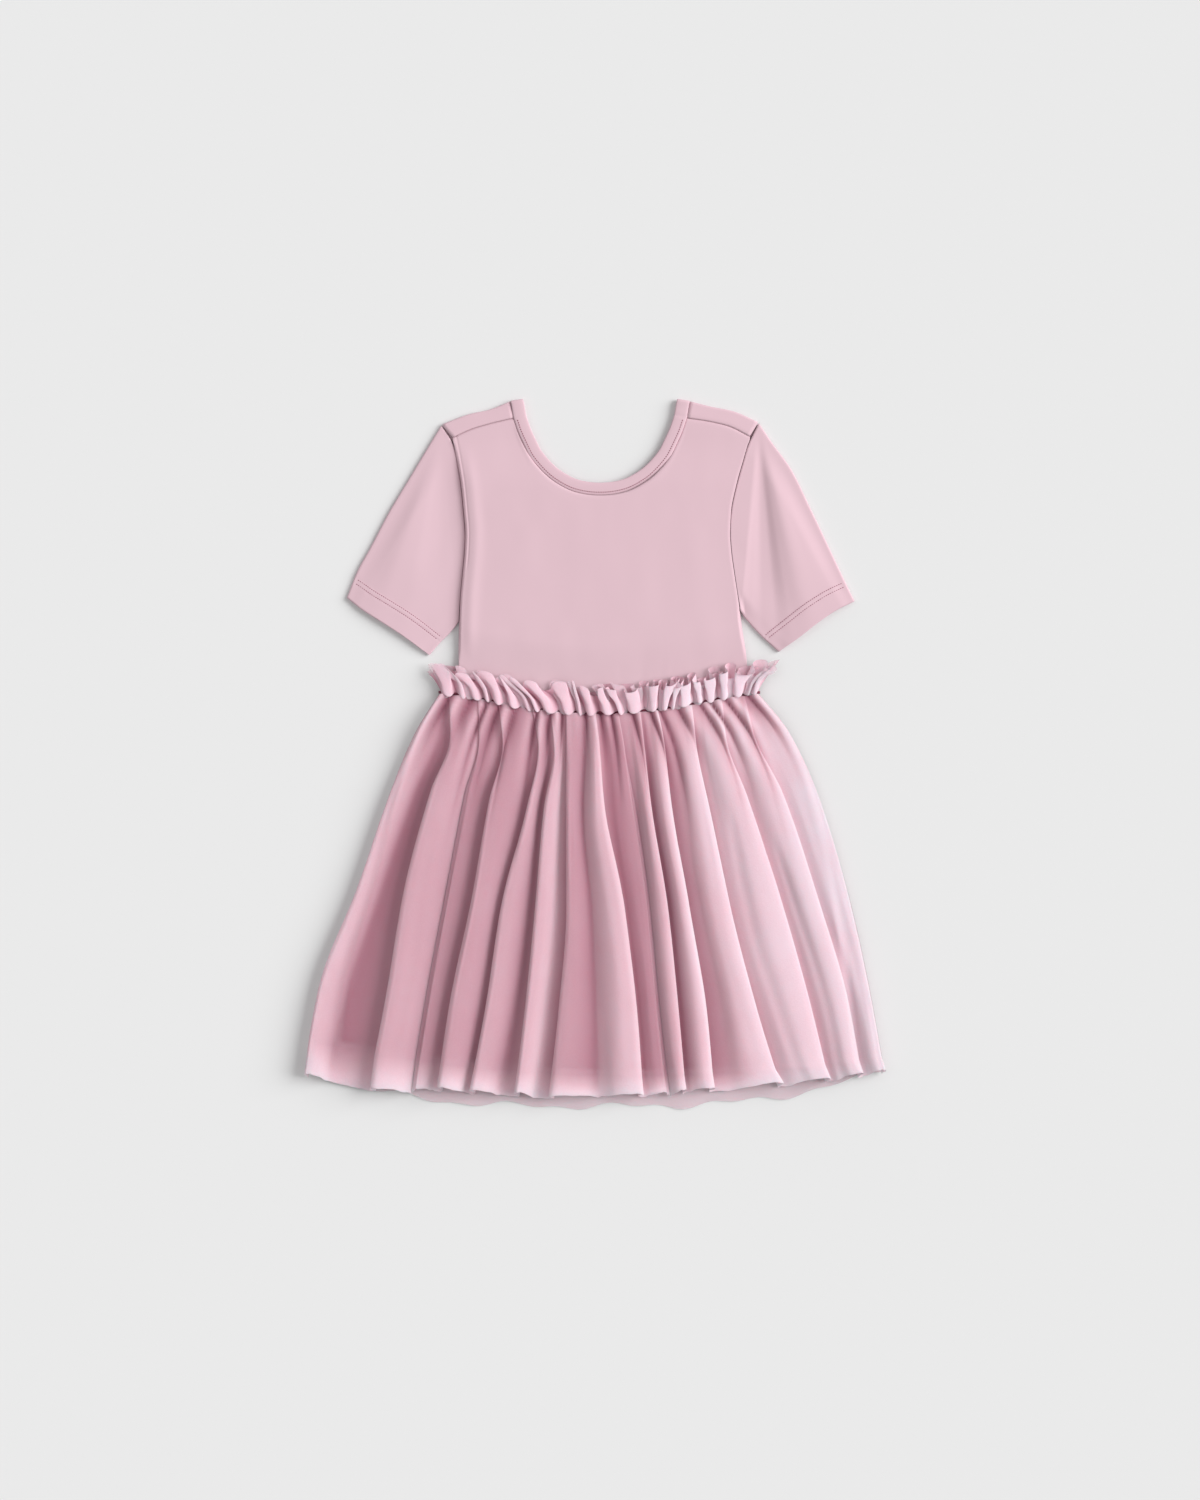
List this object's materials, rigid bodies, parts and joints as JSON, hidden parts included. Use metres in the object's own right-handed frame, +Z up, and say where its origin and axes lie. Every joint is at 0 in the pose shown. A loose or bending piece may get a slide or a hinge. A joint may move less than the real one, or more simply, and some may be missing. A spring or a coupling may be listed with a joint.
{
  "type": "child's tutu dress, laid flat",
  "caption": "Short-sleeved jersey dress with a bound scoop neck and a gathered tulle skirt over a lining, laid flat with its front up",
  "frame": {"origin": "On the table, under the middle of the dress's box", "axes": "+X to the right of someone looking down at the front, +Y from the hem towards the neck, +Z up from the table"},
  "size_m": [0.5232, 0.6391, 0.0254],
  "materials": {
    "jersey": "soft matt cotton jersey, dusty pink",
    "ruffle_tulle": "fine soft net, light pink",
    "gather": "narrow gathering elastic in shadow, dark rose",
    "skirt_tulle": "fine soft net, dusty pink",
    "lining": "matt knit lining, dusty rose"
  },
  "bodies": {
    "root": {"bodice_front": "jersey", "bodice_back": "jersey", "neckband": "jersey", "sleeve_left": "jersey", "sleeve_right": "jersey", "ruffle_front": "ruffle_tulle", "ruffle_back": "ruffle_tulle", "waist_gather": "gather", "skirt_tulle_front": "skirt_tulle", "skirt_tulle_back": "skirt_tulle", "lining_front": "lining", "lining_back": "lining"}
  },
  "joints": []
}
